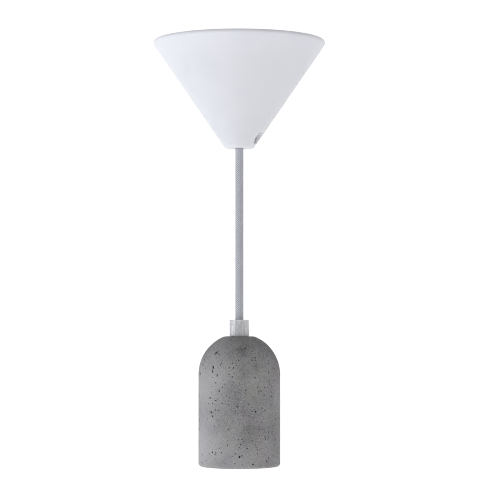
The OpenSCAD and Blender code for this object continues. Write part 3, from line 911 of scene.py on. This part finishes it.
def make_cores():
    """The brown and the blue core, above in the canopy and below in the holder."""
    make_core("core_live_top", np.array(LIVE_ROUTE) / 1000, "live_core_upper", "core_brown", "ceiling")
    make_core("core_neutral_top", np.array(NEUTRAL_ROUTE) / 1000, "neutral_core_upper", "core_blue",
              "ceiling")
    wire_z = low("live_core_lower").z + 0.0011
    down = ((0.00125, JACKET_END_Z + 0.001), (0.00125, JACKET_END_Z - 0.0016),
            (0.0017, JACKET_END_Z - 0.0038), (0.0026, wire_z + 0.0018), (0.0044, wire_z + 0.0002),
            (0.0066, wire_z))
    make_core("core_live_bottom", [(x, 0, z) for x, z in down], "live_core_lower", "core_brown",
              "pendant")
    make_core("core_neutral_bottom", [(-x, 0, z) for x, z in down], "neutral_core_lower", "core_blue",
              "pendant")


# ---------------------------------------------------------------- the CAD's own pieces

# The moulded nodes whose edges are rounded, and by how much
ROUNDED = {"suspension_eye": 0.0006, "clamp_plate": 0.0005, "terminal_block": 0.0006, "cord_grip": 0.0004,
           "holder_terminals": 0.0003, "nipple_nut": 0.0003}


def finish_cad_nodes():
    """Gives each CAD node its finished material, and rounds the edges of the moulded ones."""
    for row in frame["record"]["subparts"]:
        node, slot = row["node"], row["material_slot"]
        piece = NODES[node]
        if piece.hide_render:
            continue
        piece.data.materials.clear()
        piece.data.materials.append(MATERIALS[slot])
        if node in ROUNDED:
            flatten = piece.modifiers.new("flatten", "DECIMATE")
            flatten.decimate_type = "DISSOLVE"
            flatten.angle_limit = math.radians(2)
            bevel = piece.modifiers.new("round", "BEVEL")
            bevel.width = ROUNDED[node]
            bevel.segments = 3
            bevel.angle_limit = math.radians(35)
            bevel.harden_normals = True


# ---------------------------------------------------------------- stage and lights

# The studio's brightness on each side of the object, and the floor's glow near it. Further off, the
# floor glows as its surroundings do, less the light that it bounces.
SURROUND_BACK = 1.03
SURROUND_LEFT = 0.72
SURROUND_RIGHT = 0.48
SURROUND_FRONT = 0.86
FLOOR_GLOW = 0.84
FLOOR_BOUNCE = 0.13
FLOOR_Z = -0.62
FLOOR_R = 60


def surround(s, direction):
    """Brightness of the studio by compass direction: white behind the object, greyer to the sides."""
    flat = s.vector("NORMALIZE", s.vector("MULTIPLY", direction, (1, 1, 0)))
    parts = s.node("SeparateXYZ", Vector=flat)
    around = s.span(parts.outputs["X"], -1, 1, SURROUND_LEFT, SURROUND_RIGHT)
    for level, start, stop in ((SURROUND_FRONT, -0.3, -0.9), (SURROUND_BACK, 0.3, 0.85)):
        share = s.span(parts.outputs["Y"], start, stop)
        around = s.math("MULTIPLY_ADD", share, s.math("SUBTRACT", level, around), around)
    return around


class WorldShader(Shader):
    """The same calls, for the world's background."""

    def __init__(self, name):
        self.world = bpy.data.worlds.new(name)
        self.world.use_nodes = True
        self.tree = self.world.node_tree
        self.surface = self.tree.nodes["Background"]


def make_floor():
    """A pale paper floor that runs into the background without a horizon."""
    bpy.ops.mesh.primitive_circle_add(vertices=96, radius=FLOOR_R, fill_type="NGON",
                                      location=(0, 0, FLOOR_Z))
    floor = bpy.context.object
    floor.name = "floor"
    s = Shader("floor_paper")
    place = s.place()
    distance = s.vector("LENGTH", place, output="Value")
    far = s.math("SUBTRACT", surround(s, place), FLOOR_BOUNCE)
    near = s.span(distance, 0.5, 3.0, 1, 0)
    glow = s.math("MULTIPLY_ADD", near, s.math("SUBTRACT", FLOOR_GLOW, far), far)
    s.set(Base_Color=rgb(0.28, 0.28, 0.28), Roughness=0.9, Emission_Color=rgb(1, 1, 1),
          Emission_Strength=glow, Specular_IOR_Level=0.0)
    floor.data.materials.append(s.material)


def make_world():
    """A pale studio: bright round the horizon, dimmer overhead."""
    s = WorldShader("studio")
    direction = s.node("TexCoord").outputs["Generated"]
    height = s.node("SeparateXYZ", Vector=direction).outputs["Z"]
    fall = s.span(height, 0.30, 0.80, 1.0, 0.42)
    s.set(Strength=s.math("MULTIPLY", surround(s, direction), fall), Color=rgb(1, 1, 1))
    bpy.context.scene.world = s.world
    bpy.context.scene.view_settings.view_transform = "Standard"
    bpy.context.scene.cycles.filter_width = 1.0
    bpy.context.scene.cycles.denoising_prefilter = "NONE"


def area_light(name, place, aim, width, height, power, colour=(1, 1, 1)):
    """A soft box that lights the object and isn't seen itself."""
    data = bpy.data.lights.new(name, "AREA")
    data.shape, data.size, data.size_y = "RECTANGLE", width, height
    data.energy, data.color = power, colour
    add_object(name, data, place, aim).visible_camera = False


def make_lights():
    """A soft cool light from the left, and a weak one that lines the right edge."""
    area_light("key_left", (-1.4, -0.25, -0.25), (0, 0, -0.2), 0.9, 1.2, 6.4, (0.86, 0.93, 1.0))
    area_light("edge_right", (1.1, 0.45, -0.1), (0, 0, -0.15), 0.35, 1.2, 0.6)


# ---------------------------------------------------------------- build

make_camera()
make_cords()
make_casting()
make_screw_shell()
make_cores()
finish_cad_nodes()
make_floor()
make_world()
make_lights()
